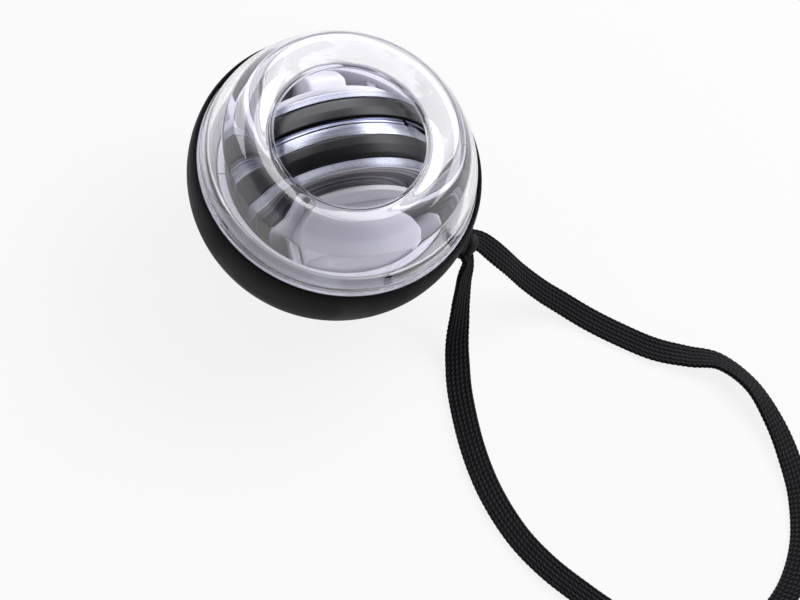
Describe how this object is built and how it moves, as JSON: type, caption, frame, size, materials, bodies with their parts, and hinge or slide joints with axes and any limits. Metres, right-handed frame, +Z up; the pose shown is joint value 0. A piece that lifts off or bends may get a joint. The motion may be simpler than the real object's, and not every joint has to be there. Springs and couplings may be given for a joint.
{
  "type": "gyroscopic wrist ball",
  "caption": "Hand-held gyroscopic exercise ball: soft black grip cup, clear rolled-lip dome, heavy rotor in a turning frame with a spring starter, and a flat braided wrist strap.",
  "frame": {"origin": "centre of the flat foot under the ball, on the surface that it stands on", "axes": "+Z up through the middle of the thumb opening; +X towards the strap anchor; +Y completes the right-handed frame"},
  "size_m": [0.1659, 0.0966, 0.0514],
  "materials": {
    "soft_cover": "soft-touch matt",
    "pale_shell": "moulded, pale",
    "clear": "clear, polished",
    "steel": "ground",
    "race": "moulded, satin",
    "milky": "moulded, milky",
    "bronze": "sintered",
    "weight": "dark, die-cast",
    "turned": "turned, bright",
    "tyre": "matt",
    "braid": "flat braid"
  },
  "bodies": {
    "ball": {"grip_cover": "soft_cover", "lower_bowl": "pale_shell", "strap_pin": "steel", "lower_race": "race", "upper_race": "race", "clear_dome": "clear", "strap_hitch": "braid", "wrist_strap": "braid"},
    "turning_frame": {"frame_front_half": "milky", "frame_rear_half": "milky", "pod_cover": "milky", "bush_front": "bronze", "bush_rear": "bronze", "mainspring": "steel"},
    "rotor": {"axle": "steel", "rotor_core": "weight", "tyre_front": "tyre", "tyre_rear": "tyre", "groove_band": "turned", "cap_front": "turned", "cap_rear": "turned", "pawl_disc": "milky", "spacer_rear": "bronze"},
    "arbor": {"winding_arbor": "bronze", "ratchet_wheel": "steel"}
  },
  "joints": [
    {"name": "precession", "type": "hinge", "parent": "ball", "child": "turning_frame", "pos_m": [0, 0, 0.0285], "axis": [0, 0, 1], "continuous": true},
    {"name": "rotor_spin", "type": "hinge", "parent": "turning_frame", "child": "rotor", "pos_m": [0, 0, 0.0285], "axis": [-0.5432, 0.8396, 0], "continuous": true},
    {"name": "starter_wind", "type": "hinge", "parent": "turning_frame", "child": "arbor", "pos_m": [0, 0, 0.0285], "axis": [-0.5432, 0.8396, 0], "range_deg": [0, 720], "stiffness_Nm_per_rad": 0.0016, "deforming": ["mainspring"]}
  ]
}
